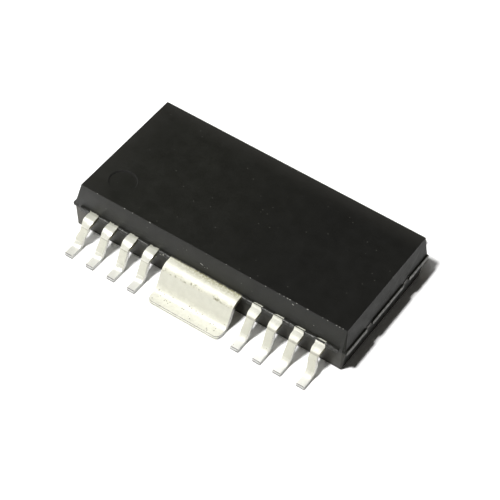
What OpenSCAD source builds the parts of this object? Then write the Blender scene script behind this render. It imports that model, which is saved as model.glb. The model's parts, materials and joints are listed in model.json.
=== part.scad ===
// Power chip with heat fins: a moulded body around a formed lead frame, a die and its bond wires.
// X runs along the body, Y across it and Z up from the board, in millimetres.
// The origin is the middle of the package on the seating plane, where the feet rest.

/* [Body] */
// Width of the moulded body at the parting line
body_w = 6.4; // [5.6:0.1:8]
// From the outermost lead's centre to the end of the body
end_margin = 0.94; // [0.75:0.01:1.6]
// Height of the upper half, parting line to top face
upper_h = 1; // [0.7:0.05:1.6]
// Height of the lower half, underside to parting line
lower_h = 1.2; // [1:0.05:1.8]
// Gap between the underside and the board
standoff = 0.1; // [0.05:0.01:0.25]
// How far the upper half's drafted sides lean in at the top
upper_in = 0.15; // [0.05:0.01:0.25]
// How far the lower half's drafted sides lean in at the underside
lower_in = 0.15; // [0.05:0.01:0.25]
// How far the resin ledges stand out, at the ends and between the leads
ledge_d = 0.1; // [0.04:0.01:0.2]
// How far the end ledges stop short of the body's sides
end_ledge_inset = 0.1; // [0.02:0.01:0.4]
// How far the side ledges stop short of the body's ends
side_ledge_inset = 0.3; // [0.1:0.01:0.5]

/* [Marks] */
// Diameter of the first-lead dimple at its mouth
dimple_d = 1.2; // [0.8:0.05:1.6]
// Depth of the dimple
dimple_depth = 0.07; // [0.03:0.01:0.15]
// Wall angle of the dimple, in degrees from upright
dimple_wall = 30; // [0:5:45]
// Dimple centre from the end and from the side of the body at the parting line
dimple_inset = 1.36; // [1:0.02:1.8]
// Diameter of the two ejector marks underneath
ejector_d = 1.5; // [1:0.1:2]
// Depth of the ejector marks
ejector_depth = 0.04; // [0.02:0.01:0.1]
// Ejector mark centre from the end of the body
ejector_inset = 2.2; // [1.6:0.1:3]

/* [Lead frame] */
// Thickness of the stamped sheet
lead_t = 0.2; // [0.15:0.01:0.25]
// Distance between neighbouring leads
pitch = 1; // [0.8:0.01:1.27]
// Leads in a group, with one group on either side of each fin
group = 4; // [3:1:5]
// Distance between the two leads beside a fin
fin_gap = 5; // [4.6:0.1:6]
// Width of a lead at its leg and foot
lead_w = 0.35; // [0.25:0.01:0.4]
// Width of a lead's shoulder, where the dam bar was cut away
dam_w = 0.42; // [0.4:0.01:0.5]
// Body side to toe, measured along the board
lead_reach = 1.6; // [1.45:0.01:2]
// Flat length of the shoulder outside the body
shoulder_l = 0.36; // [0.2:0.01:0.45]
// Slope of the legs, in degrees from the board
leg_angle = 72; // [62:1:85]
// Inside radius of the bends
bend_r = 0.2; // [0.1:0.01:0.25]

/* [Heat spreader] */
// Width of the fins
fin_w = 3.4; // [2.6:0.1:3.8]
// Corner radius of the fins' toes
fin_toe_r = 0.25; // [0.05:0.05:0.4]
// Paddle length under the die
paddle_l = 6; // [5:0.1:6.6]
// Paddle width under the die
paddle_w = 3.6; // [3:0.1:4]
// Slope of the step from the fins down to the paddle, in degrees
step_angle = 45; // [35:1:60]
// Diameter of the resin lock holes in the fin roots
lock_hole_d = 0.4; // [0.2:0.05:0.5]
// Distance between the two lock holes of a fin
lock_hole_gap = 1.8; // [1.2:0.1:2]

/* [Inner leads] */
// Width of the fingers inside the body
finger_w = 0.3; // [0.2:0.01:0.36]
// Distance between the finger tips beside the paddle's ends
tip_pitch = 0.55; // [0.45:0.01:0.6]
// Gap between a finger tip and the paddle, seen from above
tip_gap = 0.25; // [0.15:0.01:0.4]
// Slanted run of a bent finger
finger_slant = 0.6; // [0.2:0.05:0.7]
// Width of the anchor that locks a lead in the resin
anchor_w = 0.56; // [0.44:0.01:0.6]
// Length of the anchor
anchor_l = 0.25; // [0.15:0.01:0.35]
// Anchor centre from the side of the body
anchor_in = 0.4; // [0.3:0.01:0.5]

/* [Tie bars] */
// Width of a tie bar
tie_w = 0.3; // [0.2:0.02:0.5]
// Length of a tie bar in the body
tie_l = 0.46; // [0.3:0.02:0.5]
// How far its cut end stands out of the body
tie_proud = 0.02; // [0:0.01:0.04]
// Distance between the two tie bars of an end
tie_gap = 2.86; // [2.2:0.02:4]
// Width of a tie bar's anchor
tie_anchor_w = 0.7; // [0.5:0.05:0.9]
// Length of a tie bar's anchor
tie_anchor_l = 0.16; // [0.1:0.02:0.2]
// Room between a tie bar and the ledge on either side of it
tie_notch = 0.06; // [0.02:0.01:0.15]

/* [Die and wires] */
// Length of the die
die_l = 4; // [3:0.1:4.6]
// Width of the die
die_w = 2.6; // [2:0.1:2.8]
// Thickness of the die
die_t = 0.3; // [0.15:0.01:0.4]
// Thickness of the die attach
attach_t = 0.025; // [0.015:0.005:0.05]
// How far the die attach spreads past the die
attach_rim = 0.06; // [0.02:0.01:0.1]
// Diameter of the bond wires
wire_d = 0.05; // [0.03:0.005:0.075]
// Height of a wire loop above the die
loop_h = 0.28; // [0.2:0.01:0.35]
// Bond pads from the edge of the die
bond_inset = 0.15; // [0.1:0.01:0.25]
// Bonds from the tip of a finger
bond_back = 0.2; // [0.15:0.01:0.3]
// Diameter of the ball bond on the die
ball_d = 0.11; // [0.1:0.005:0.15]
// Height of the ball bond
ball_h = 0.03; // [0.02:0.005:0.05]
// Diameter of the flattened bond on a finger
stitch_d = 0.13; // [0.11:0.005:0.18]
// Height of the flattened bond
stitch_h = 0.015; // [0.01:0.005:0.03]

/* [Hidden] */
lead_count = 4 * group;
outer_lead_x = fin_gap / 2 + (group - 1) * pitch;
body_l = 2 * (outer_lead_x + end_margin);
parting_z = standoff + lower_h;
top_z = parting_z + upper_h;
toe_y = body_w / 2 + lead_reach;

// The lead frame's upper face is the parting plane, and the paddle is set down
// so that the top of the die comes level with it
frame_z = parting_z - lead_t;
paddle_z = frame_z - die_t - attach_t;

// Straight fingers end in front of the paddle, and the rest turn in beside its ends
straight_fingers = 2;
tip_x = paddle_l / 2 + tip_gap;
tip_y = paddle_w / 2 + tip_gap;

// Lead bends: the sheet's middle follows arcs of this radius
mid_r = bend_r + lead_t / 2;
upper_bend_z = frame_z - bend_r;
lower_bend_z = lead_t + bend_r;
leg_l = (upper_bend_z - lower_bend_z + 2 * mid_r * cos(leg_angle)) / sin(leg_angle);
foot_u = shoulder_l + 2 * mid_r * sin(leg_angle) + leg_l * cos(leg_angle);
bend_steps = 12;

ends = [-1, 1];
round_fn = 64;
arc_fn = 180;
cut = 1;

// Leads run anticlockwise from the dimple, seen from above. Each has a column counted from the left end,
// and a place in its group counted outwards from the fin.
function lead_column(i) = i <= 2 * group ? i - 1 : lead_count - i;
function lead_place(i) = lead_column(i) < group ? group - 1 - lead_column(i) : lead_column(i) - group;
function lead_side_x(i) = lead_column(i) < group ? -1 : 1;
function lead_side_y(i) = i <= 2 * group ? -1 : 1;

// A sheet's section is a list of [point, half thickness towards its upper face]
function arc_run(centre, from, to, upper_side) = [
    for (s = [0:bend_steps])
        let (a = from + (to - from) * s / bend_steps, ray = [cos(a), sin(a)])
            [centre + mid_r * ray, upper_side * lead_t / 2 * ray]
];
function shoulder_run(y0) = arc_run([y0 + shoulder_l, upper_bend_z], 90, 90 - leg_angle, 1);
function foot_run(y0) = concat(
    arc_run([y0 + foot_u, lower_bend_z], 270 - leg_angle, 270, -1),
    [[[y0 + lead_reach, lead_t / 2], [0, lead_t / 2]]]
);
function outline(run) = concat(
    [for (p = run) p[0] + p[1]],
    [for (s = [len(run) - 1:-1:0]) run[s][0] - run[s][1]]
);
function mirrored(run) = [for (s = [len(run) - 1:-1:0]) [for (v = run[s]) [-v[0], v[1]]]];

// The four quarters of the package are alike: shapes are drawn in +X +Y and mirrored
module in_quarter(side_x, side_y) {
    mirror([side_x < 0 ? 1 : 0, 0, 0])
        mirror([0, side_y < 0 ? 1 : 0, 0])
            children();
}

module along_x(length) {
    rotate([90, 0, 90])
        linear_extrude(length, center = true)
            children();
}

module along_y(length) {
    rotate([90, 0, 0])
        linear_extrude(length, center = true)
            children();
}

module trapezoid(half_base, inset, height) {
    half_top = half_base - inset;
    polygon([[-half_base, 0], [half_base, 0], [half_top, height], [-half_top, height]]);
}

// A strip of sheet along a path, with round corners
module strip(path, width) {
    for (s = [1:len(path) - 1]) {
        run = path[s] - path[s - 1];
        translate(path[s - 1])
            rotate(atan2(run[1], run[0]))
                translate([0, -width / 2])
                    square([norm(run), width]);
    }
    if (len(path) > 2)
        for (s = [1:len(path) - 2])
            translate(path[s])
                circle(d = width, $fn = round_fn);
}

// One half of the moulding, drafted from the parting plane on all four sides, with crisp upright edges
module moulded_half(height, inset) {
    intersection() {
        along_x(body_l) trapezoid(body_w / 2, inset, height);
        along_y(body_w) trapezoid(body_l / 2, inset, height);
    }
}

// Resin that filled the frame's windows, at the ends and between the leads,
// notched where the tie bars were cut
module window_ledges() {
    notch_w = tie_w + 2 * tie_notch;
    translate([0, 0, frame_z])
        linear_extrude(lead_t)
            difference() {
                union() {
                    square([body_l + 2 * ledge_d, body_w - 2 * end_ledge_inset], center = true);
                    square([body_l - 2 * side_ledge_inset, body_w + 2 * ledge_d], center = true);
                }
                for (side_x = ends, side_y = ends)
                    translate([side_x * (body_l / 2 + cut / 2), side_y * tie_gap / 2])
                        square([cut, notch_w], center = true);
            }
}

module first_lead_dimple() {
    translate([-(body_l / 2 - dimple_inset), -(body_w / 2 - dimple_inset), top_z - dimple_depth])
        cylinder(
            d1 = dimple_d - 2 * dimple_depth * tan(dimple_wall),
            d2 = dimple_d,
            h = dimple_depth,
            $fn = round_fn
        );
}

module ejector_marks() {
    for (side_x = ends)
        translate([side_x * (body_l / 2 - ejector_inset), 0, standoff - cut])
            cylinder(d = ejector_d, h = cut + ejector_depth, $fn = round_fn);
}

module mould_body() {
    color("#2a2a28")
        difference() {
            union() {
                translate([0, 0, parting_z]) moulded_half(upper_h, upper_in);
                translate([0, 0, parting_z]) mirror([0, 0, 1]) moulded_half(lower_h, lower_in);
                window_ledges();
            }
            first_lead_dimple();
            ejector_marks();
            heat_spreader();
            die_attach();
            silicon_die();
            for (i = [1:lead_count]) {
                lead(i);
                bond_wire(i);
            }
            for (i = [1:4]) tie_bar(i);
        }
}

// Stamped and formed lead: gull-wing outside, flat finger inside
function lead_x(place) = fin_gap / 2 + place * pitch;
function turned_tip_y(place) = (group - place - 0.5) * tip_pitch;
function finger_path(place) =
    let (x = lead_x(place), y = turned_tip_y(place), root = [x, body_w / 2])
        place < straight_fingers
            ? [root, [x, tip_y]]
            : [root, [x, y + finger_slant], [x - finger_slant, y], [tip_x, y]];

module lead(i) {
    place = lead_place(i);
    side = body_w / 2;
    root = [[[side - anchor_in, frame_z + lead_t / 2], [0, lead_t / 2]]];
    bend = shoulder_run(side);
    leg_start = [bend[bend_steps]];
    color("#d9dacd")
        in_quarter(lead_side_x(i), lead_side_y(i)) {
            translate([lead_x(place), 0, 0]) {
                along_x(dam_w) polygon(outline(concat(root, bend)));
                along_x(lead_w) polygon(outline(concat(leg_start, foot_run(side))));
            }
            translate([0, 0, frame_z])
                linear_extrude(lead_t) {
                    strip(finger_path(place), finger_w);
                    translate([lead_x(place), side - anchor_in])
                        square([anchor_w, anchor_l], center = true);
                }
        }
}

// One sheet from toe to toe: two fins stepped down to the paddle that carries the die
module heat_spreader() {
    step_l = (frame_z - paddle_z) / tan(step_angle);
    lean = lead_t / 2 * [-tan(step_angle / 2), 1];
    mid = lead_t / 2;
    step_run = [
        [[paddle_w / 2, paddle_z + mid], lean],
        [[paddle_w / 2 + step_l, frame_z + mid], lean]
    ];
    fin_run = concat(step_run, shoulder_run(body_w / 2), foot_run(body_w / 2));
    hole_y = (body_w + paddle_w) / 4 + step_l / 2;
    color("#d6d6c6")
        difference() {
            union() {
                intersection() {
                    along_x(fin_w) polygon(outline(concat(mirrored(fin_run), fin_run)));
                    linear_extrude(parting_z) fin_plan();
                }
                translate([-paddle_l / 2, -paddle_w / 2, paddle_z]) cube([paddle_l, paddle_w, lead_t]);
            }
            for (side_x = ends, side_y = ends)
                translate([side_x * lock_hole_gap / 2, side_y * hole_y, frame_z - cut])
                    cylinder(d = lock_hole_d, h = lead_t + 2 * cut, $fn = round_fn);
        }
}

module fin_plan() {
    square([fin_w, 2 * (toe_y - fin_toe_r)], center = true);
    square([fin_w - 2 * fin_toe_r, 2 * toe_y], center = true);
    for (side_x = ends, side_y = ends)
        translate([side_x * (fin_w / 2 - fin_toe_r), side_y * (toe_y - fin_toe_r)])
            circle(fin_toe_r, $fn = round_fn);
}

// Stub that held the moulding in its frame, with an anchor inside the resin
module tie_bar(i) {
    bar_end = body_l / 2 + tie_proud;
    bar_l = tie_l + tie_proud;
    side_x = i == 1 || i == 4 ? -1 : 1;
    side_y = i <= 2 ? -1 : 1;
    color("#b9a48c")
        in_quarter(side_x, side_y)
            translate([bar_end - bar_l, tie_gap / 2, frame_z])
                linear_extrude(lead_t) {
                    translate([0, -tie_w / 2]) square([bar_l, tie_w]);
                    translate([0, -tie_anchor_w / 2]) square([tie_anchor_l, tie_anchor_w]);
                }
}

module die_attach() {
    attach_l = die_l + 2 * attach_rim;
    attach_w = die_w + 2 * attach_rim;
    color("#9a9a98")
        translate([-attach_l / 2, -attach_w / 2, paddle_z + lead_t])
            cube([attach_l, attach_w, attach_t]);
}

module silicon_die() {
    color("#4a5568")
        translate([-die_l / 2, -die_w / 2, parting_z - die_t])
            cube([die_l, die_w, die_t]);
}

// Wire loop from the die to a finger: one arc standing on the level of both bonds
function bond_pad(place) =
    let (x = die_l / 2 - bond_inset, y = die_w / 2 - bond_inset)
        place == 0 ? [x - 3 * bond_inset, y]
        : place == 1 ? [x, y]
        : [x, y * (group - place - 0.5) / (group - 1)];
function finger_bond(place) =
    place < straight_fingers
        ? [lead_x(place), tip_y + bond_back]
        : [tip_x + bond_back, turned_tip_y(place)];

module bond_wire(i) {
    place = lead_place(i);
    run = finger_bond(place) - bond_pad(place);
    color("#c9a64a")
        in_quarter(lead_side_x(i), lead_side_y(i))
            translate(concat(bond_pad(place), parting_z))
                rotate(atan2(run[1], run[0]))
                    wire_loop(norm(run));
}

module wire_loop(span) {
    loop_r = (span * span / 4 + loop_h * loop_h) / (2 * loop_h);
    half_angle = asin(span / 2 / loop_r) + asin(wire_d / loop_r);
    cylinder(d = ball_d, h = ball_h, $fn = round_fn);
    translate([span, 0, 0]) cylinder(d = stitch_d, h = stitch_h, $fn = round_fn);
    intersection() {
        translate([span / 2, 0, loop_h - loop_r])
            rotate([90, 0, 0])
                rotate(90 - half_angle)
                    rotate_extrude(angle = 2 * half_angle, $fn = arc_fn)
                        translate([loop_r, 0])
                            circle(d = wire_d, $fn = round_fn);
        translate([-cut, -cut, 0]) cube([span + 2 * cut, 2 * cut, loop_h + cut]);
    }
}

mould_body();
heat_spreader();
die_attach();
silicon_die();
for (i = [1:lead_count]) lead(i);
for (i = [1:4]) tie_bar(i);
for (i = [1:lead_count]) bond_wire(i);
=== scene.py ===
import json
import math
import random

import bmesh
import bpy
from mathutils import Euler, Matrix, Vector

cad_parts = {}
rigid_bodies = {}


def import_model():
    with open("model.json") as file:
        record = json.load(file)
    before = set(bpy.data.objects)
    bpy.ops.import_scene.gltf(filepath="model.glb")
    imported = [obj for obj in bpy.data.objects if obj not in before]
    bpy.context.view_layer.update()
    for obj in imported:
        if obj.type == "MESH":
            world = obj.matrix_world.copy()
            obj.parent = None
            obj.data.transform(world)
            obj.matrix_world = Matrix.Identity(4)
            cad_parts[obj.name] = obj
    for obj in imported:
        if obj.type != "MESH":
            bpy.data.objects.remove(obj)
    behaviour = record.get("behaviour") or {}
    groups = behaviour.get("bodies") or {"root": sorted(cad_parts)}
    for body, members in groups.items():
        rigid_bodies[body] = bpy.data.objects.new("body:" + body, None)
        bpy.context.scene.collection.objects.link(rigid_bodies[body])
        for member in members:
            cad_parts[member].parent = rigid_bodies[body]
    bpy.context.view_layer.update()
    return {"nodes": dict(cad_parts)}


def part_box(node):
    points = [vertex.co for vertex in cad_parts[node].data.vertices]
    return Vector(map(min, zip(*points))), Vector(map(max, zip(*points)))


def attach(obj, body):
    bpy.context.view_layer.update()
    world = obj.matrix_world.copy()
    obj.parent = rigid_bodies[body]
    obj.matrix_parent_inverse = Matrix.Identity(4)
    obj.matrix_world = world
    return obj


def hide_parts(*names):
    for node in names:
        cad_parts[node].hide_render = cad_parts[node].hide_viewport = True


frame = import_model()
bpy.ops.object.select_all(action="DESELECT")
print("frame:", len(frame["nodes"]), "nodes")

# pieces are modelled in millimetres and brought to metres when they are finished
milli = 0.001


def nodeBox(node):
    low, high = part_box(node)
    return low / milli, high / milli


# the driving places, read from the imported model
bodyHigh = nodeBox("mould_body")[1]
firstLow, firstHigh = nodeBox("lead_5")     # nearest the fin, front right
nextLow, nextHigh = nodeBox("lead_6")
leadCount = 16
sheetTop = firstHigh.z                      # the parting plane
toeY = nodeBox("heat_spreader")[1].y
ledgeOut = 0.1                              # how far the resin ledges stand out all round
sideY = bodyHigh.y - ledgeOut
endX = bodyHigh.x - ledgeOut
innerLeadX = (firstLow.x + firstHigh.x) / 2
leadPitch = (nextLow.x + nextHigh.x) / 2 - innerLeadX

# how closely points are picked by place and merged, and faces picked by the way they look
closeBy = 0.001
mergeBy = 0.00005
facing = 0.9


# small tools

def clearAll():
    if bpy.context.mode != "OBJECT":
        bpy.ops.object.mode_set(mode="OBJECT")
    bpy.ops.object.select_all(action="DESELECT")


def takeUp(piece):
    clearAll()
    piece.select_set(True)
    bpy.context.view_layer.objects.active = piece


def beginEdit(piece):
    takeUp(piece)
    bpy.ops.object.mode_set(mode="EDIT")


def endEdit():
    bpy.ops.object.mode_set(mode="OBJECT")


def nameActive(name):
    piece = bpy.context.active_object
    piece.name = name
    piece.data.name = name
    return piece


def settle():
    # place, turn and size go into the mesh
    bpy.ops.object.transform_apply(location=True, rotation=True, scale=True)


def startBlock(name, low, high):
    clearAll()
    low, high = Vector(low), Vector(high)
    bpy.ops.mesh.primitive_cube_add(size=1, location=(low + high) / 2, scale=high - low)
    settle()
    return nameActive(name)


def pickAll():
    bpy.ops.mesh.select_all(action="SELECT")


def pick(kind, find):
    bpy.ops.mesh.select_mode(type=kind)
    bpy.ops.mesh.select_all(action="DESELECT")
    mesh = bpy.context.edit_object.data
    shape = bmesh.from_edit_mesh(mesh)
    for element in find(shape):
        element.select_set(True)
    bmesh.update_edit_mesh(mesh)


def pickFaces(test):
    pick("FACE", lambda shape: [face for face in shape.faces
                                if test(face.calc_center_median(), face.normal)])


def pickEdges(test):
    pick("EDGE", lambda shape: [edge for edge in shape.edges if test(edge.verts[0].co, edge.verts[1].co)])


def pickPoints(test):
    pick("VERT", lambda shape: [point for point in shape.verts if test(point.co)])


def pushOut(move, rows=1):
    for row in range(rows):
        bpy.ops.mesh.extrude_region_move(TRANSFORM_OT_translate={"value": Vector(move) / rows})


def shift(x, y, z):
    bpy.ops.transform.translate(value=(x, y, z))


def turnDown(steps, degrees, center):
    bpy.ops.mesh.spin(steps=steps, angle=math.radians(degrees), center=center, axis=(1, 0, 0))


def turnFlat(steps, degrees, center):
    bpy.ops.mesh.spin(steps=steps, angle=math.radians(degrees), center=center, axis=(0, 0, 1))


def roughen(offset, seed):
    bpy.ops.transform.vertex_random(offset=offset, uniform=0.0, normal=0.0, seed=seed)


def closeUp():
    pickAll()
    bpy.ops.mesh.remove_doubles(threshold=mergeBy)
    bpy.ops.mesh.normals_make_consistent(inside=False)


def bevelPicked(offset, segments):
    bpy.ops.mesh.bevel(offset=offset, segments=segments, affect="EDGES")


def roundSharp(offset, segments, degrees=40):
    bpy.ops.mesh.select_mode(type="EDGE")
    bpy.ops.mesh.select_all(action="DESELECT")
    bpy.ops.mesh.edges_select_sharp(sharpness=math.radians(degrees))
    bevelPicked(offset, segments)


def addModifier(piece, kind, **settings):
    takeUp(piece)
    modifier = piece.modifiers.new(kind.lower(), kind)
    for key, value in settings.items():
        setattr(modifier, key, value)
    bpy.ops.object.modifier_apply(modifier=modifier.name)


def combine(piece, tool, operation):
    addModifier(piece, "BOOLEAN", object=tool, operation=operation, solver="EXACT",
                material_mode="TRANSFER")
    bpy.data.objects.remove(tool, do_unlink=True)


def joinAll(pieces, name):
    clearAll()
    for piece in pieces:
        piece.select_set(True)
    bpy.context.view_layer.objects.active = pieces[0]
    bpy.ops.object.join()
    return nameActive(name)


def copyPiece(piece, name):
    takeUp(piece)
    bpy.ops.object.duplicate(linked=False)
    return nameActive(name)


def finishPiece(piece, slotName, *nodes, smooth=38):
    takeUp(piece)
    piece.scale = (milli, milli, milli)
    settle()
    bpy.ops.object.shade_smooth_by_angle(angle=math.radians(smooth))
    addModifier(piece, "WEIGHTED_NORMAL", keep_sharp=True)
    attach(piece, "root")
    if nodes:
        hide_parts(*nodes)


# finishes

def startMaterial(name, metal=0.0):
    material = bpy.data.materials.new(name)
    material.use_nodes = True
    tree = material.node_tree
    shader = tree.nodes["Principled BSDF"]
    shader.inputs["Metallic"].default_value = metal
    place = tree.nodes.new("ShaderNodeTexCoord")
    scale = tree.nodes.new("ShaderNodeMapping")
    scale.inputs["Scale"].default_value = (1 / milli, 1 / milli, 1 / milli)
    tree.links.new(place.outputs["Object"], scale.inputs["Vector"])
    return material, tree, shader, scale.outputs["Vector"]


def plugIn(tree, shader, color, rough, normal):
    tree.links.new(color, shader.inputs["Base Color"])
    tree.links.new(rough, shader.inputs["Roughness"])
    tree.links.new(normal, shader.inputs["Normal"])


def noise(tree, place, scale, detail=3, rough=0.55, stretch=None):
    if stretch:
        pull = tree.nodes.new("ShaderNodeMapping")
        pull.inputs["Scale"].default_value = stretch
        tree.links.new(place, pull.inputs["Vector"])
        place = pull.outputs["Vector"]
    node = tree.nodes.new("ShaderNodeTexNoise")
    node.inputs["Scale"].default_value = scale
    node.inputs["Detail"].default_value = detail
    node.inputs["Roughness"].default_value = rough
    tree.links.new(place, node.inputs["Vector"])
    return node.outputs["Fac"]


def ramp(tree, value, *stops):
    node = tree.nodes.new("ShaderNodeValToRGB")
    elements = node.color_ramp.elements
    for element, (position, color) in zip(elements, stops):
        element.position = position
        element.color = (*color, 1)
    tree.links.new(value, node.inputs["Fac"])
    return node.outputs["Color"]


def spread(tree, value, low, high, fromLow=0.3, fromHigh=0.7):
    node = tree.nodes.new("ShaderNodeMapRange")
    node.inputs["From Min"].default_value = fromLow
    node.inputs["From Max"].default_value = fromHigh
    node.inputs["To Min"].default_value = low
    node.inputs["To Max"].default_value = high
    tree.links.new(value, node.inputs["Value"])
    return node.outputs["Result"]


def feed(tree, socket, value):
    # a constant is set on the socket, and another node's result is linked to it
    if isinstance(value, (tuple, float, int)):
        socket.default_value = value
    else:
        tree.links.new(value, socket)


def mixColor(tree, amount, first, second):
    node = tree.nodes.new("ShaderNodeMix")
    node.data_type = "RGBA"
    for number, value in ((0, amount), (6, first), (7, second)):
        feed(tree, node.inputs[number], value)
    return node.outputs[2]


def mathNode(tree, operation, first, second):
    node = tree.nodes.new("ShaderNodeMath")
    node.operation = operation
    feed(tree, node.inputs[0], first)
    feed(tree, node.inputs[1], second)
    return node.outputs["Value"]


def bump(tree, height, distance, strength, under=None):
    node = tree.nodes.new("ShaderNodeBump")
    node.inputs["Strength"].default_value = strength
    node.inputs["Distance"].default_value = distance * milli
    tree.links.new(height, node.inputs["Height"])
    if under is not None:
        tree.links.new(under, node.inputs["Normal"])
    return node.outputs["Normal"]


def specks(tree, place, scale, size, share, core=0.6):
    # round specks, one in some of the cells of a scattered grid, fading outside their core
    cells = tree.nodes.new("ShaderNodeTexVoronoi")
    cells.inputs["Scale"].default_value = scale
    tree.links.new(place, cells.inputs["Vector"])
    near = spread(tree, cells.outputs["Distance"], 1.0, 0.0, size * core, size)
    split = tree.nodes.new("ShaderNodeSeparateColor")
    tree.links.new(cells.outputs["Color"], split.inputs["Color"])
    some = mathNode(tree, "LESS_THAN", split.outputs["Red"], share)
    return mathNode(tree, "MULTIPLY", near, some)


def axes(tree, place):
    # the fields that every layer can follow, in millimetres; away is the distance from the middle line
    split = tree.nodes.new("ShaderNodeSeparateXYZ")
    tree.links.new(place, split.inputs["Vector"])
    across = split.outputs["Y"]
    return {"along": split.outputs["X"], "across": across, "height": split.outputs["Z"],
            "away": mathNode(tree, "ABSOLUTE", across, 0.0)}


def product(tree, fields, ranges):
    # each range is a field, the shares it goes from and to, and the values that it does so between
    amount = 1.0
    for field, low, high, start, stop in ranges:
        share = spread(tree, fields[field], low, high, start, stop)
        amount = mathNode(tree, "MULTIPLY", amount, share)
    return amount


def paint(tree, base, fields, layers):
    # each layer is a colour, and the ranges that say how far it covers what is there
    for color, *ranges in layers:
        base = mixColor(tree, product(tree, fields, ranges), base, (*color, 1))
    return base


def band(low, high, soft):
    # the two ranges of a layer that lies between two heights
    return ("height", 0, 1, low - soft, low), ("height", 1, 0, high, high + soft)


resinFinish = {
    "dark": (0.0066, 0.0068, 0.0047), "pale": (0.0110, 0.0112, 0.0085), "cloudScale": 0.8,
    # gloss falls from left to right, is less on the right end and more on the front
    "gloss": (("along", 0.4736, 0.3552, -6.2, 0.0), ("along", 1.0, 0.40, endX - 0.16, endX - 0.14),
              ("across", 1.12, 1.0, -3.10, -3.06)),
    "fine": {"scale": 15, "size": 0.20, "share": 0.05}, "coarse": {"scale": 4, "size": 0.12, "share": 0.20},
    "sheenY": (1.9, 3.1), "sheenX": (-6.3, -4.8), "sheenLeft": 0.7, "filmAndBounceScale": 3.0,
    "layers": (
        # the top, darker towards its right end as painted shade
        ((0.0045, 0.0044, 0.0042), ("height", 0, 1, 2.2, 2.27), ("along", 0.0, 0.6, -3.0, 3.0)),
        # dust in two sizes
        ((0.13, 0.13, 0.115), ("fine", 0.0, 0.15, 0.0, 1.0)),
        ((0.13, 0.13, 0.115), ("coarse", 0.0, 0.4, 0.0, 1.0)),
        # a pale film on the long walls below the parting line, most of all at the left: partly resin film,
        # partly painted bounce light
        ((0.076, 0.071, 0.057), *band(0.14, 1.07, 0.04),
         ("away", 0, 1, 3.02, 3.07), ("film", 0.6, 1.0, 0.3, 0.7), ("along", 1.25, 0.42, -6.0, -5.6)),
        # the back and left edges of the top, lighter as a painted sheen
        ((0.024, 0.023, 0.020), ("edgeSheen", 0, 1, 0.0, 1.0), ("height", 0, 1, 2.2, 2.27)),
    ),
    "roughLow": 0.42, "roughHigh": 0.52, "roughScale": 2.3,
    "waveScale": 1.6, "waveHeight": 0.010, "grainScale": 24, "grainHeight": 0.0030,
}


def mouldResin(form):
    material, tree, shader, place = startMaterial("mouldResin")
    fields = axes(tree, place)
    tree.links.new(product(tree, fields, form["gloss"]), shader.inputs["Specular IOR Level"])
    for dust in ("fine", "coarse"):
        fields[dust] = specks(tree, place, **form[dust])
    # the film mask also places painted bounce light on the lower walls
    fields["film"] = noise(tree, place, form["filmAndBounceScale"], 4, 0.6)
    # painted sheen: the top grows lighter towards its back and left edges
    edges = mathNode(tree, "MAXIMUM", spread(tree, fields["across"], 0.0, 1.0, *form["sheenY"]),
                     spread(tree, fields["along"], form["sheenLeft"], 0.0, *form["sheenX"]))
    fields["edgeSheen"] = mathNode(tree, "POWER", edges, 2.0)
    cloudy = noise(tree, place, form["cloudScale"], 4, 0.6)
    base = ramp(tree, cloudy, (0.32, form["dark"]), (0.70, form["pale"]))
    base = paint(tree, base, fields, form["layers"])
    uneven = noise(tree, place, form["roughScale"], 5, 0.6)
    rough = spread(tree, uneven, form["roughLow"], form["roughHigh"])
    waves = bump(tree, noise(tree, place, form["waveScale"], 2, 0.5), form["waveHeight"], 0.4)
    grain = noise(tree, place, form["grainScale"], 4, 0.65)
    plugIn(tree, shader, base, rough, bump(tree, grain, form["grainHeight"], 0.8, waves))
    return material


chipFinish = {"dark": (0.08, 0.08, 0.07), "pale": (0.40, 0.40, 0.37), "scale": 30,
              "roughLow": 0.65, "roughHigh": 0.9, "grainHeight": 0.005}
tornFinish = {"dark": (0.018, 0.018, 0.016), "pale": (0.060, 0.060, 0.055), "scale": 12,
              "roughLow": 0.28, "roughHigh": 0.45, "grainHeight": 0.002}
# pale torn rims, a painted highlight on the end ledges and on upward ledge faces
paintedLitRimFinish = {"dark": (0.085, 0.085, 0.080), "pale": (0.25, 0.25, 0.235), "scale": 7,
             "roughLow": 0.4, "roughHigh": 0.6, "grainHeight": 0.003}
sunkFinish = {"dark": (0.006, 0.006, 0.005), "pale": (0.010, 0.010, 0.008), "scale": 9,
              "roughLow": 0.8, "roughHigh": 0.95, "grainHeight": 0.002}


def brokenResin(name, form, roughScale=45, grainScale=55):
    material, tree, shader, place = startMaterial(name)
    base = ramp(tree, noise(tree, place, form["scale"], 4), (0.35, form["dark"]), (0.65, form["pale"]))
    rough = spread(tree, noise(tree, place, roughScale), form["roughLow"], form["roughHigh"])
    grain = noise(tree, place, grainScale, 4)
    plugIn(tree, shader, base, rough, bump(tree, grain, form["grainHeight"], 0.8))
    return material


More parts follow.
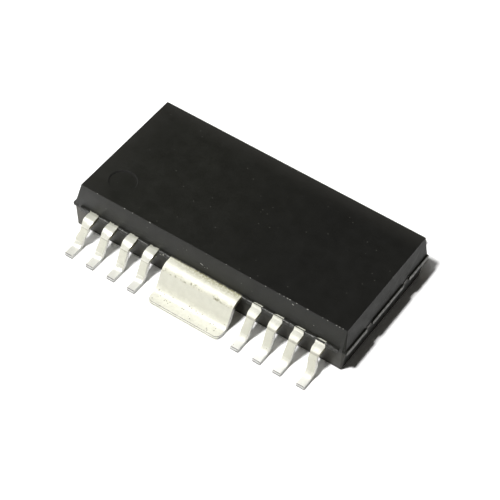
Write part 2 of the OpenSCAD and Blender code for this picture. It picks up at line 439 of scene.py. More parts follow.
tinFinish = {
    "dull": (0.75, 0.745, 0.645), "bright": (0.89, 0.885, 0.80), "brightFrom": 0.62,
    "metal": 0.35, "roughLow": 0.27, "roughHigh": 0.40, "streak": (26, 3.2, 3.2), "streakShare": 0.45,
    "mottle": (5.5, 5, 0.62), "lumpHeight": 0.006, "grainScale": 48, "grainHeight": 0.0016,
    "pits": {"scale": 11, "size": 0.20, "share": 0.05},
    # the shoulder, darker as a painted reflection of the dark body, and its root, darker next to the resin;
    # the foot, lighter as painted light; the leg below the bend, darker as painted shade; and the line
    # under the bend, painted shade
    "layers": {
        "shoulder": ((0.62, 0.62, 0.535), ("height", 0, 1, 1.27, 1.29), ("lead", 1.0, 0.4, 0.35, 0.65)),
        "root": ((0.45, 0.45, 0.37), ("away", 1, 0, 3.29, 3.39), ("mottle", 1.0, 0.5, 0.3, 0.7)),
        "foot": ((0.97, 0.97, 0.92), ("height", 0.6, 0.0, 0.215, 0.265), ("lead", 0.6, 1.0, 0.35, 0.65)),
        "leg": ((0.60, 0.595, 0.505), *band(0.41, 1.0, 0.03),
                ("mottle", 1.0, 0.75, 0.3, 0.7)),
        "line": ((0.42, 0.41, 0.34), *band(1.0, 1.025, 0.012),
                 ("mottle", 0.9, 0.4, 0.3, 0.7)),
        "pit": ((0.30, 0.28, 0.19), ("pits", 0, 1, 0.0, 1.0)),
    },
}
# duller tin on the leads whose shoulders fall away most, with a lighter painted shoulder and a brighter
# painted foot, and the painted shade of the leg and of the line under the bend set higher up
pressedFinish = dict(tinFinish, dull=(0.61, 0.605, 0.525), bright=(0.73, 0.725, 0.645),
                     metal=0.2, roughLow=0.52, roughHigh=0.66)
pressedFinish["layers"] = dict(
    tinFinish["layers"],
    shoulder=((0.80, 0.80, 0.71), ("height", 0, 1, 1.262, 1.302), ("lead", 1.0, 0.4, 0.35, 0.65)),
    foot=((0.97, 0.97, 0.92), ("height", 0.82, 0.0, 0.215, 0.265), ("lead", 0.6, 1.0, 0.35, 0.65)),
    leg=((0.60, 0.595, 0.505), *band(0.41, 1.10, 0.03),
         ("mottle", 1.0, 0.75, 0.3, 0.7)),
    line=((0.34, 0.33, 0.27), *band(1.08, 1.12, 0.03),
          ("mottle", 0.9, 0.4, 0.3, 0.7)))
solderFinish = {
    "dull": (0.71, 0.705, 0.605), "bright": (0.81, 0.805, 0.70), "brightFrom": 0.58,
    "metal": 0.2, "roughLow": 0.42, "roughHigh": 0.60, "ragged": 0.09, "raggedScale": 7,
    "mottle": (4.5, 5, 0.65), "lumpHeight": 0.010, "grainScale": 40, "grainHeight": 0.002,
    "pits": {"scale": 9, "size": 0.26, "share": 0.55}, "stainScale": 10, "smearScale": 4.0,
    "layers": {
        # the darker leg, partly rubbed solder and partly painted shade, fades in above the foot and ends
        # raggedly at the bend
        "leg": ((0.62, 0.615, 0.53), ("ragged", 0, 1, 0.30, 0.52), ("ragged", 1, 0, 1.09, 1.12),
                ("mottle", 1.0, 0.8, 0.3, 0.7)),
        # a darker band on the bend, painted shade that tones down its highlight
        "bend": ((0.66, 0.65, 0.54), *band(1.08, 1.24, 0.06),
                 ("mottle", 1.0, 0.4, 0.3, 0.7)),
        # at the root, the stain lighter to the left
        "stain": ((0.38, 0.365, 0.20), ("away", 1, 0, 3.30, 3.60), ("stain", 0, 1, 0.37, 0.56),
                  ("along", 0.35, 1.0, -1.4, -0.2)),
        "crust": ((0.15, 0.14, 0.075), ("away", 1, 0, 3.245, 3.30), ("stain", 0.35, 1.0, 0.37, 0.484)),
        # below the upper bend, and above the foot
        "smear": ((0.26, 0.25, 0.16), *band(1.08, 1.15, 0.05),
                  ("smear", 0, 1, 0.51, 0.65)),
        "pit": ((0.22, 0.20, 0.14), *band(0.20, 0.34, 0.05),
                ("pits", 0, 1, 0.0, 1.0)),
    },
}


def startPlate(name, form):
    # what tin and solder share: the fields their layers follow
    material, tree, shader, place = startMaterial(name, form["metal"])
    fields = axes(tree, place)
    fields["mottle"] = noise(tree, place, *form["mottle"])
    fields["pits"] = specks(tree, place, **form["pits"])
    return material, tree, shader, place, fields


def endPlate(tree, shader, place, fields, tone, form):
    base = ramp(tree, tone, (0.34, form["dull"]), (form["brightFrom"], form["bright"]))
    base = paint(tree, base, fields, form["layers"].values())
    rough = spread(tree, tone, form["roughHigh"], form["roughLow"], 0.35, 0.65)
    lumps = bump(tree, fields["mottle"], form["lumpHeight"], 0.7)
    grain = noise(tree, place, form["grainScale"], 3, 0.6)
    plugIn(tree, shader, base, rough, bump(tree, grain, form["grainHeight"], 0.6, lumps))


def tinPlate(name, form):
    # bright or dull as mottle and streaks fall; its layers paint shade on the legs and under the bend, a
    # dark reflection on the shoulder and light on the foot
    material, tree, shader, place, fields = startPlate(name, form)
    streak = noise(tree, place, 1.0, 4, 0.6, form["streak"])
    fields["lead"] = noise(tree, place, 0.9, 0, 0.5, (1, 0.05, 0.05))     # differs from lead to lead
    tone = mixColor(tree, form["streakShare"], fields["mottle"], streak)
    endPlate(tree, shader, place, fields, tone, form)
    return material


def finSolder(form):
    # cream and lumpy, stained at the root, smeared below the upper bend and pitted above the foot
    material, tree, shader, place, fields = startPlate("finSolder", form)
    wander = spread(tree, noise(tree, place, form["raggedScale"], 5, 0.7), -form["ragged"], form["ragged"])
    fields["ragged"] = mathNode(tree, "ADD", fields["height"], wander)
    fields["stain"] = noise(tree, place, form["stainScale"], 5, 0.70)
    fields["smear"] = noise(tree, place, form["smearScale"], 5, 0.72)
    endPlate(tree, shader, place, fields, fields["mottle"], form)
    return material


shearFinish = {"dull": (0.80, 0.79, 0.71), "bright": (0.93, 0.93, 0.87), "metal": 0.25,
               "roughLow": 0.22, "roughHigh": 0.36}
# cut copper on the lead sides, dark olive: partly its own colour, partly painted shade from the dark body
copperAndShadeFinish = {"dull": (0.10, 0.09, 0.05), "bright": (0.27, 0.245, 0.15), "metal": 0.6,
                "roughLow": 0.32, "roughHigh": 0.5}
# tie-bar ends, near black as painted shade in their notches
shadedStubFinish = {"dull": (0.012, 0.011, 0.009), "bright": (0.045, 0.038, 0.026), "metal": 0.4,
              "roughLow": 0.45, "roughHigh": 0.6}
# dark burrs on the toe edges; the same finish paints the contact-shadow line across each toe
burrAndShadeFinish = {"dull": (0.03, 0.03, 0.028), "bright": (0.11, 0.11, 0.10), "metal": 0.4,
              "roughLow": 0.45, "roughHigh": 0.6}
# grey cut faces at the toe ends, the sides of the feet and the lower fin sides; on the sides of the feet
# the grey is painted shade
footEdgeAndShadeFinish = {"dull": (0.44, 0.44, 0.42), "bright": (0.72, 0.72, 0.69), "metal": 0.2,
              "roughLow": 0.4, "roughHigh": 0.55}


def cutMetal(name, form, stretch=(4, 22, 22), dragHeight=0.0025):
    # a sheared face, with drag lines along the cut
    material, tree, shader, place = startMaterial(name, form["metal"])
    drag = noise(tree, place, 1.0, 4, 0.6, stretch)
    base = ramp(tree, drag, (0.36, form["dull"]), (0.62, form["bright"]))
    rough = spread(tree, drag, form["roughHigh"], form["roughLow"])
    plugIn(tree, shader, base, rough, bump(tree, drag, dragHeight, 0.6))
    return material


def innerFinish(name, dull, bright, metal, rough, scale, grainHeight=0.001):
    material, tree, shader, place = startMaterial(name, metal)
    tone = noise(tree, place, scale, 4, 0.6)
    base = ramp(tree, tone, (0.36, dull), (0.64, bright))
    uneven = spread(tree, tone, rough * 0.8, rough * 1.2)
    plugIn(tree, shader, base, uneven, bump(tree, tone, grainHeight, 0.5))
    return material


finishes = {
    "resin": mouldResin(resinFinish),
    "chip": brokenResin("chippedResin", chipFinish),
    "torn": brokenResin("tornResin", tornFinish),
    "rim": brokenResin("tornRimPaintedLit", paintedLitRimFinish),
    "sunk": brokenResin("sunkWall", sunkFinish),
    "tin": tinPlate("tinPlate", tinFinish),
    "pressed": tinPlate("pressedTin", pressedFinish),
    "solder": finSolder(solderFinish),
    "sheared": cutMetal("shearedTin", shearFinish),
    "copperAndShade": cutMetal("cutCopperAndShade", copperAndShadeFinish),
    "stub": cutMetal("cutStubInShade", shadedStubFinish),
    "burrAndShade": cutMetal("toeBurr", burrAndShadeFinish),
    "foot": cutMetal("cutFootAndShade", footEdgeAndShadeFinish),
    "silicon": innerFinish("polishedSilicon", (0.10, 0.11, 0.13), (0.16, 0.17, 0.20), 0.6, 0.2, 3),
    "adhesive": innerFinish("silverAdhesive", (0.38, 0.38, 0.36), (0.56, 0.56, 0.54), 0.4, 0.55, 40),
    "gold": innerFinish("goldWire", (0.72, 0.48, 0.16), (0.86, 0.62, 0.24), 1.0, 0.25, 30),
}
print("finishes:", len(finishes))


def giveFinishes(piece, *keys):
    # the piece gets these finishes after those it has, and their places in its list come back
    before = len(piece.data.materials)
    for key in keys:
        piece.data.materials.append(finishes[key])
    return range(before, before + len(keys))


# formed leads

leadForm = {
    "thick": 0.2, "legWide": 0.36, "damWide": 0.42, "headWide": 0.46, "headTaper": 0.10,
    "shoulder": 0.2628, "upperInside": 0.3, "lowerInside": 0.32, "legAngle": 70,
    "shoulderRows": 3, "bendSteps": 12, "legRows": 6, "footRows": 3,
    "taperSteps": 9, "taperShare": 0.75,     # how much of the upper bend the head narrows over
    "edgeRound": 0.016, "toeBurr": 0.015, "toeShadowLine": (0.050, 0.080), "toeLong": 0.03,
    # copper, dark as partly its own colour and partly painted shade, shows on the cut sides above cutZ, and
    # the other two tell side and end faces apart
    "cutZ": 1.02, "sideways": 0.8, "upright": 0.3,
    "anchorWide": 0.56, "anchorLong": 0.25, "anchorIn": 0.4, "anchorTaper": 0.02,
    "fingerWide": 0.3, "fingerSlant": 0.6, "elbow": 45, "elbowSteps": 4,
    # sideways set of each toe, lead 1 to lead 16
    "lean": (-0.095, -0.035, 0.015, 0.005, -0.03, 0.03, -0.015, 0.08,
             0.02, -0.03, 0.01, 0.03, -0.02, 0.025, -0.015, 0.02),
    # sideways set of each root, and of each head
    "rootSet": (0.06, 0.02, 0.0, 0.005, -0.09, -0.10, -0.12, -0.15,
                0.0, 0.01, -0.02, 0.0, 0.02, -0.01, 0.01, 0.0),
    "set": (0.06, 0.02, 0.0, 0.005, -0.005, -0.04, -0.055, -0.06,
            0.0, 0.02, -0.03, 0.0, 0.03, -0.02, 0.01, 0.0),
    # how far each shoulder falls away to its bend
    "drop": (0.0, 0.004, 0.018, 0.0, 0.040, 0.036, 0.042, 0.045,
             0.01, 0.03, 0.0, 0.02, 0.005, 0.035, 0.0, 0.015),
    "pressed": (5, 6, 7, 8, 10, 12, 14),     # leads with the duller tin
    # bands in which the leg leans, the head is set over and the shoulder falls
    "leanBands": 8, "setBands": 4, "dropBands": 12,
}


def leadPlace(number):
    # place along the body in pitches, minus to the left, and the side
    return (number - 4.5, -1) if number <= leadCount / 2 else (12.5 - number, 1)


def leadRoot(number, form):
    # middle of a lead's root along the body, and the side it is on
    along, side = leadPlace(number)
    x = math.copysign(innerLeadX + (abs(along) - 0.5) * leadPitch, along)
    return x + form["rootSet"][number - 1], side


def formSection(form):
    # section of the gull-wing shape that leads and fins share
    angle = math.radians(form["legAngle"])
    middles = form["upperInside"] + form["lowerInside"] + form["thick"]     # of both bends, added
    upperZ = sheetTop - form["thick"] - form["upperInside"]
    lowerZ = form["lowerInside"] + form["thick"]
    legLong = (upperZ - lowerZ + middles * math.cos(angle)) / math.sin(angle)
    upperY = sideY + form["shoulder"]
    lowerY = upperY + middles * math.sin(angle) + legLong * math.cos(angle)
    return {
        "upper": Vector((0, -upperY, upperZ)), "lower": Vector((0, -lowerY, lowerZ)),
        "along": Vector((0, -math.cos(angle), -math.sin(angle))), "legLong": legLong,
        "foot": Vector((0, lowerY - toeY - form["toeLong"], 0)),
    }


def widen(width, before):
    bpy.ops.transform.resize(value=(width / before, 1, 1))


def makeFinger(form, place, x):
    # place 0 and 1 run straight in, the outer two turn towards the paddle
    low, high = nodeBox("lead_%d" % (5 + place))
    half = form["fingerWide"] / 2
    startY = -(sideY - form["anchorIn"] - form["anchorLong"] / 2 - form["anchorTaper"])
    if place < 2:
        pushOut((0, high.y - startY, 0))
        return
    steps, elbow, slant = form["elbowSteps"], form["elbow"], form["fingerSlant"]
    trim = half * math.tan(math.radians(elbow / 2))
    tipY = high.y - half
    kneeY = tipY - slant
    pushOut((0, kneeY - trim - startY, 0))
    turnFlat(steps, -elbow, (x - half, kneeY - trim, 0))
    run = slant - trim * math.sqrt(2)
    pushOut((-run, run, 0))
    turnFlat(steps, -elbow, (x - slant - trim, tipY - half, 0))
    pushOut((low.x - (x - slant - trim), 0, 0))


def makeLead(form, place):
    x = innerLeadX + place * leadPitch
    section = formSection(form)
    anchorY = -(sideY - form["anchorIn"] + form["anchorLong"] / 2)
    lead = startBlock("leadForm%d" % place, (x - form["damWide"] / 2, -sideY, sheetTop - form["thick"]),
                      (x + form["damWide"] / 2, anchorY, sheetTop))
    beginEdit(lead)
    pickFaces(lambda middle, normal: normal.y < -facing)
    pushOut((0, -ledgeOut, 0), 2)
    pushOut((0, -form["headTaper"], 0))
    widen(form["headWide"], form["damWide"])
    pushOut((0, ledgeOut + form["headTaper"] - form["shoulder"], 0), form["shoulderRows"])
    # the head keeps its width at first and then narrows to the leg along the bend
    wideTurn = form["legAngle"] * (1 - form["taperShare"])
    turnDown(form["bendSteps"] - form["taperSteps"], -wideTurn, section["upper"])
    for step in range(form["taperSteps"]):
        turnDown(1, -form["legAngle"] * form["taperShare"] / form["taperSteps"], section["upper"])
        shares = [0.5 + 0.5 * math.cos(math.pi * turn / form["taperSteps"]) for turn in (step, step + 1)]
        widths = [form["legWide"] + (form["headWide"] - form["legWide"]) * share for share in shares]
        widen(widths[1], widths[0])
    pushOut(section["along"] * section["legLong"], form["legRows"])
    turnDown(form["bendSteps"], form["legAngle"], section["lower"])
    pushOut(section["foot"], form["footRows"])
    # the anchor and the finger inside the resin
    pickFaces(lambda middle, normal: normal.y > facing and middle.y > anchorY - closeBy)
    pushOut((0, form["anchorTaper"], 0))
    widen(form["anchorWide"], form["damWide"])
    pushOut((0, form["anchorLong"] - form["anchorTaper"], 0))
    pushOut((0, form["anchorTaper"], 0))
    widen(form["fingerWide"], form["anchorWide"])
    makeFinger(form, place, x)
    closeUp()
    # burrs along the toe's upper and lower edges, and a dark line between them, painted contact shadow
    tip = -toeY - form["toeLong"] + closeBy
    pickEdges(lambda one, two: one.y < tip and two.y < tip and abs(one.z - two.z) < closeBy)
    bevelPicked(form["toeBurr"], 1)
    for level in form["toeShadowLine"]:
        pickFaces(lambda middle, normal: middle.y < tip and normal.y < -facing)
        bpy.ops.mesh.bisect(plane_co=(0, 0, level), plane_no=(0, 0, 1))
    roundSharp(form["edgeRound"], 2, 50)
    closeUp()
    endEdit()
    return lead


def leanLead(lead, form, lean):
    # the foot is set sideways and the leg follows it row by row
    section = formSection(form)
    topZ, footZ = section["upper"].z, section["lower"].z
    bands = form["leanBands"]
    beginEdit(lead)
    for band in range(bands):
        high = topZ - (topZ - footZ) * band / bands
        low = high - (topZ - footZ) / bands if band < bands - 1 else -1
        pickPoints(lambda point: low < point.z <= high and abs(point.y) > sideY)
        shift(lean * (band + 1) / bands, 0, 0)
    endEdit()


def setHead(lead, form, root, head, wallGap=0.02, rowGap=0.005):
    # the root moves sideways, and what lies beyond it runs over to the head's place
    rootY, bendY = sideY + ledgeOut, sideY + form["shoulder"]
    bands = form["setBands"]
    beginEdit(lead)
    pickPoints(lambda point: abs(point.y) > sideY + wallGap)
    shift(root, 0, 0)
    for band in range(bands):
        fromY = rootY + (bendY - rootY) * band / bands + rowGap
        pickPoints(lambda point: abs(point.y) > fromY)
        shift((head - root) / bands, 0, 0)
    endEdit()


def dropShoulder(lead, form, drop, above=0.05):
    # the shoulder slopes down to a rounder knuckle, and the leg stays
    section = formSection(form)
    rootY, bendY = sideY + ledgeOut, -section["upper"].y
    endY = bendY + form["upperInside"] + form["thick"]
    bands = form["dropBands"]
    beginEdit(lead)
    for band in range(bands):
        low = rootY + (endY - rootY) * band / bands
        high = low + (endY - rootY) / bands
        middle = (low + high) / 2
        share = (middle - rootY) / (bendY - rootY) if middle < bendY else (endY - middle) / (endY - bendY)
        pickPoints(lambda point: low < abs(point.y) <= high and point.z > section["upper"].z + above)
        shift(0, 0, -drop * share)
    endEdit()


def dressLead(lead, form, plate):
    sheared, copperAndShade, burrAndShade, foot = giveFinishes(lead, plate, "sheared", "copperAndShade", "burrAndShade", "foot")[1:]
    tip = toeY + form["toeLong"] - form["edgeRound"]
    lineLow, lineHigh = form["toeShadowLine"]
    for face in lead.data.polygons:
        atTip = abs(face.center.y) > tip
        onSide = abs(face.normal.x) > form["sideways"]
        if atTip and abs(face.normal.z) < form["upright"]:
            face.material_index = burrAndShade if lineLow < face.center.z < lineHigh else foot
        elif atTip and abs(face.normal.z) < facing:
            face.material_index = burrAndShade
        elif onSide and abs(face.center.y) > sideY and face.center.z > form["cutZ"]:
            face.material_index = copperAndShade
        elif onSide:
            # the sides of the foot take the grey cut finish as painted shade
            face.material_index = foot if face.center.z < form["thick"] else sheared


leadMasters = [makeLead(leadForm, place) for place in range(leadCount // 4)]
leads = []
for number in range(1, leadCount + 1):
    along, side = leadPlace(number)
    lead = copyPiece(leadMasters[int(abs(along) - 0.5)], "formedLead%d" % number)
    lead.scale = (1 if along > 0 else -1, -side, 1)
    settle()
    beginEdit(lead)
    closeUp()
    endEdit()
    dropShoulder(lead, leadForm, leadForm["drop"][number - 1])
    leanLead(lead, leadForm, leadForm["lean"][number - 1])
    setHead(lead, leadForm, leadForm["rootSet"][number - 1], leadForm["set"][number - 1])
    dressLead(lead, leadForm, "pressed" if number in leadForm["pressed"] else "tin")
    leads.append(lead)
for master in leadMasters:
    bpy.data.objects.remove(master, do_unlink=True)
for number, lead in enumerate(leads, 1):
    finishPiece(lead, "tin_plate", "lead_%d" % number)
print("leads:", len(leads), "of", len(leads[0].data.polygons), "faces")


# heat spreader with a fin at each long side

spreaderForm = {
    "paddleX": 3.0, "paddleY": 1.8, "paddleZ": 0.775, "finWide": 3.4, "columns": 100,
    "stub": 0.05, "step": 0.325, "wallIn": 0.05, "toeRound": 0.25, "edgeRound": 0.014,
    "shoulderRows": 8, "bendSteps": 12, "legRows": 14, "footRows": 9,
    "holeX": 0.9, "holeWide": 0.4, "holeDeep": 0.6,
    "toeBurr": 0.010, "toeShadowLine": (0.080, 0.102),
    "toeZone": 0.2, "toeHigh": 0.25, "upright": 0.25,     # where toe faces lie, and how they are told apart
    "lumps": ((0.30, 0.016), (0.10, 0.010)),     # size and height of the solder's unevenness
    "lumpsFrom": 0.03,                           # height above the board at which they start
}


def onToe(point, form, lead, slack=0.002):
    # true for points on the outline of a fin's toe
    out = form["toeRound"]
    cornerX, cornerY = form["finWide"] / 2 - out, toeY + lead["toeLong"] - out
    reach = math.hypot(max(abs(point.x) - cornerX, 0), max(abs(point.y) - cornerY, 0))
    return reach > out - slack


def roundToes(form, lead, section, side):
    # toe corners, drawn back column by column
    half, wide = form["finWide"] / 2, form["finWide"] / form["columns"]
    footY = -section["lower"].y
    flat = toeY + lead["toeLong"] - footY
    for column in range(int(form["toeRound"] / wide) + 1):
        for end in (-1, 1):
            x = end * (half - column * wide)
            inward = max(form["toeRound"] - column * wide, 0)
            back = form["toeRound"] - math.sqrt(form["toeRound"] ** 2 - inward ** 2)
            pickPoints(lambda point: abs(point.x - x) < 2 * closeBy and point.y * side > footY + closeBy
                       and point.z < lead["thick"] + 0.01)
            bpy.ops.transform.resize(value=(1, 1 - back / flat, 1), center_override=(x, side * footY, 0))


def makeSpreader(form, lead):
    section = formSection(lead)
    thick, half = lead["thick"], form["finWide"] / 2
    floorZ, topZ = form["paddleZ"], form["paddleZ"] + thick
    spreader = startBlock("heatSpreaderSheet", (-form["paddleX"], -form["paddleY"], floorZ),
                          (form["paddleX"], form["paddleY"], topZ))
    beginEdit(spreader)
    for x in (-half, half):
        pickAll()
        bpy.ops.mesh.bisect(plane_co=(x, 0, 0), plane_no=(1, 0, 0))
    # the edges that span a fin become its columns
    pickEdges(lambda one, two: abs(one.x - two.x) > half * 1.9 and abs(one.x) < half * 1.01)
    bpy.ops.mesh.subdivide(number_cuts=form["columns"] - 1)
    mitre = thick / 2 * math.tan(math.radians(22.5))     # the step up is at 45 degrees
    stubY = form["paddleY"] + form["stub"]
    wallY = sideY - form["wallIn"]
    for side in (-1, 1):
        out = lambda move: Vector((move.x, move.y * -side, move.z))
        pickFaces(lambda middle, normal: normal.y * side > facing and abs(middle.x) < half)
        pushOut((0, side * form["stub"], 0))
        for level, move in ((topZ, -mitre), (floorZ, mitre)):
            pickPoints(lambda point: abs(point.y * side - stubY) < closeBy
                       and abs(point.z - level) < closeBy)
            shift(0, side * move, 0)
        pickFaces(lambda middle, normal: normal.y * side > 0.5 and abs(middle.x) < half
                  and middle.y * side > form["paddleY"] + 0.01)
        pushOut((0, side * form["step"], form["step"]))
        pushOut((0, side * (wallY - stubY - form["step"]), 0))
        bpy.ops.transform.resize(value=(1, 0, 1), center_override=(0, side * wallY, 0))
        pushOut((0, side * (lead["shoulder"] + form["wallIn"]), 0), form["shoulderRows"])
        turnDown(form["bendSteps"], lead["legAngle"] * side, out(section["upper"]))
        pushOut(out(section["along"]) * section["legLong"], form["legRows"])
        turnDown(form["bendSteps"], -lead["legAngle"] * side, out(section["lower"]))
        pushOut(out(section["foot"]), form["footRows"])
        roundToes(form, lead, section, side)
    closeUp()
    # burrs along the toes' upper and lower edges, and a dark line between them, painted contact shadow
    tip = toeY + lead["toeLong"] - form["toeRound"] - closeBy
    pickEdges(lambda one, two: abs(one.y) > tip and abs(two.y) > tip and abs(one.z - two.z) < closeBy
              and abs(one.x - two.x) > closeBy and onToe(one, form, lead) and onToe(two, form, lead))
    bevelPicked(form["toeBurr"], 1)
    for level in form["toeShadowLine"]:
        pickFaces(lambda middle, normal: abs(normal.z) < 0.2 and abs(middle.y) > tip
                  and onToe(middle, form, lead, 0.012))
        bpy.ops.mesh.bisect(plane_co=(0, 0, level), plane_no=(0, 0, 1))
    roundSharp(form["edgeRound"], 2, 50)
    closeUp()
    endEdit()
    return spreader


def roughenFins(spreader, form):
    # solder stands uneven on the fins, apart from the soles of their feet
    plated = spreader.vertex_groups.new(name="plated")
    outside = [point.index for point in spreader.data.vertices
               if abs(point.co.y) > sideY + 0.01 and point.co.z > form["lumpsFrom"]]
    plated.add(outside, 1.0, "REPLACE")
    for size, height in form["lumps"]:
        texture = bpy.data.textures.new("solderLumps", "CLOUDS")
        texture.noise_scale = size
        texture.noise_depth = 2
        addModifier(spreader, "DISPLACE", texture=texture, texture_coords="LOCAL", strength=height,
                    mid_level=0.5, vertex_group="plated")


def cutLockHoles(spreader, form, lead):
    holeY = (sideY + form["paddleY"] + form["stub"] + form["step"]) / 2
    pins = []
    for x in (-form["holeX"], form["holeX"]):
        for y in (-holeY, holeY):
            clearAll()
            bpy.ops.mesh.primitive_cylinder_add(vertices=32, radius=form["holeWide"] / 2,
                                                depth=form["holeDeep"],
                                                location=(x, y, sheetTop - lead["thick"] / 2))
            settle()
            pins.append(nameActive("lockPin"))
    combine(spreader, joinAll(pins, "lockPins"), "DIFFERENCE")


def dressSpreader(spreader, form, lead):
    spreader.data.materials.clear()
    burrAndShade, foot, copperAndShade = giveFinishes(spreader, "solder", "burrAndShade", "foot", "copperAndShade")[1:]
    lineLow, lineHigh = form["toeShadowLine"]
    for face in spreader.data.polygons:
        atToe = abs(face.center.y) > toeY - form["toeZone"] and face.center.z < form["toeHigh"]
        upright = abs(face.normal.z) < form["upright"]
        if atToe and not upright and abs(face.normal.z) < facing:
            face.material_index = burrAndShade
        elif atToe and upright and lineLow < face.center.z < lineHigh:
            face.material_index = burrAndShade
        elif abs(face.normal.x) > lead["sideways"]:
            face.material_index = copperAndShade if face.center.z > lead["cutZ"] else foot


spreader = makeSpreader(spreaderForm, leadForm)
roughenFins(spreader, spreaderForm)
cutLockHoles(spreader, spreaderForm, leadForm)
dressSpreader(spreader, spreaderForm, leadForm)
finishPiece(spreader, "tin_plate", "heat_spreader")
print("spreader:", len(spreader.data.polygons), "faces")


# moulded body

bodyForm = {
    "cornerRound": 0.035, "draft": 0.15, "lowDraft": 0.105, "edgeRound": 0.012,
    "bottom": 0.045,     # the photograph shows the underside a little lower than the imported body
    "ledgeThick": 0.2, "ledgeIn": 0.2, "endInset": -0.02, "sideInset": 0.3,
    "notchY": 1.43, "notchWide": 0.42, "ledgeRound": 0.030, "endRound": 0.070,
    "ledgeRagged": 0.012, "ledgeCell": 0.07, "tearSeed": 7,
    # a ledge is torn beyond this share of its reach, and its upper edge is painted pale as a highlight up
    # to this place
    "tornFrom": 0.6, "litTo": 5.7,
    "dimpleX": -5.08, "dimpleY": -1.84, "dimpleWide": 1.2, "dimpleDeep": 0.07, "dimpleSlope": 0.577,
    "dimpleRound": 0.008, "markX": 4.24, "markWide": 1.5, "markDeep": 0.04,
}


def makeShell(form):
    clearAll()
    bpy.ops.mesh.primitive_plane_add(size=2, location=(0, 0, sheetTop))
    shell = nameActive("mouldedBody")
    shell.scale = (endX, sideY, 1)
    settle()
    beginEdit(shell)
    bpy.ops.mesh.select_mode(type="FACE")
    pickAll()
    bpy.ops.mesh.duplicate()
    bpy.ops.mesh.flip_normals()
    bpy.ops.mesh.inset(thickness=form["lowDraft"], depth=sheetTop - form["bottom"])
    pickFaces(lambda middle, normal: normal.z > facing)
    bpy.ops.mesh.inset(thickness=form["draft"], depth=bodyHigh.z - sheetTop)
    closeUp()
    pickEdges(lambda one, two: abs(one.z - two.z) > 0.5)     # the upright corners
    bevelPicked(form["cornerRound"], 3)
    for level in (form["bottom"], bodyHigh.z):
        pickEdges(lambda one, two: abs(one.z - level) < closeBy and abs(two.z - level) < closeBy)
        bevelPicked(form["edgeRound"], 2)
    endEdit()
    return shell


def makeStrip(form, low, high, outward, edge, seed):
    # one length of ledge, its outer edge torn unevenly
    strip = startBlock("ledgeStrip", low, high)
    along = Vector((abs(outward.y), abs(outward.x), 0))
    longSide = (Vector(high) - Vector(low)).dot(along)
    reach = max(Vector(low).dot(outward), Vector(high).dot(outward))
    beginEdit(strip)
    roundSharp(edge, 3)
    pickEdges(lambda one, two: abs((one - two).dot(along)) > 0.1)
    bpy.ops.mesh.subdivide(number_cuts=int(longSide / form["ledgeCell"]))
    pickPoints(lambda point: point.dot(outward) > reach - 0.03)
    roughen(form["ledgeRagged"], seed)
    closeUp()
    endEdit()
    return strip


def makeLedges(form, lead, fin):
    # the resin left at the ends and between the leads, parted where metal came out
    lowZ, seed = sheetTop - form["ledgeThick"], form["tearSeed"]
    near, far = form["notchY"] - form["notchWide"] / 2, form["notchY"] + form["notchWide"] / 2
    endY = sideY - form["endInset"]
    reach = endX - form["sideInset"]
    strips = []
    for side in (-1, 1):
        inner, outer = sorted((side * (endX - form["ledgeIn"]), side * (endX + ledgeOut)))
        for fromY, toY in ((-endY, -far), (-near, near), (far, endY)):
            strips.append(makeStrip(form, (inner, fromY, lowZ), (outer, toY, sheetTop),
                                    Vector((side, 0, 0)), form["endRound"], seed + len(strips)))
        metal = [(0, fin["finWide"] / 2)]     # middle and half width of what comes out of this side
        for number in range(1, leadCount + 1):
            x, onSide = leadRoot(number, lead)
            if onSide == side:
                metal.append((x, lead["damWide"] / 2))
        metal.sort()
        starts = [-reach] + [x + half for x, half in metal]
        stops = [x - half for x, half in metal] + [reach]
        inner, outer = sorted((side * (sideY - form["ledgeIn"]), side * (sideY + ledgeOut)))
        for fromX, toX in zip(starts, stops):
            strips.append(makeStrip(form, (fromX, inner, lowZ), (toX, outer, sheetTop),
                                    Vector((0, side, 0)), form["ledgeRound"], seed + len(strips)))
    return joinAll(strips, "ledgeStrips")


def makeSink(name, x, y, z, wide, deep, slope):
    # a round sunk mark, as a frustum that stands through the face
    clearAll()
    grow = deep * slope
    bpy.ops.mesh.primitive_cone_add(vertices=64, radius1=wide / 2 - grow, radius2=wide / 2 + grow,
                                    depth=2 * deep, location=(x, y, z))
    settle()
    return nameActive(name)


def sinkMarks(shell, form, rim):
    # the first-lead dimple on top with its eased rim, and two ejector marks underneath
    dimple = makeSink("dimpleTool", *rim, form["dimpleWide"], form["dimpleDeep"], form["dimpleSlope"])
    combine(shell, dimple, "DIFFERENCE")
    for x in (-form["markX"], form["markX"]):
        mark = makeSink("markTool", x, 0, form["bottom"], form["markWide"], form["markDeep"], 0.0)
        combine(shell, mark, "DIFFERENCE")
    onRim = lambda point: abs((point - rim).length - form["dimpleWide"] / 2) < 0.004
    beginEdit(shell)
    pickEdges(lambda one, two: onRim(one) and onRim(two))
    bevelPicked(form["dimpleRound"], 2)
    endEdit()


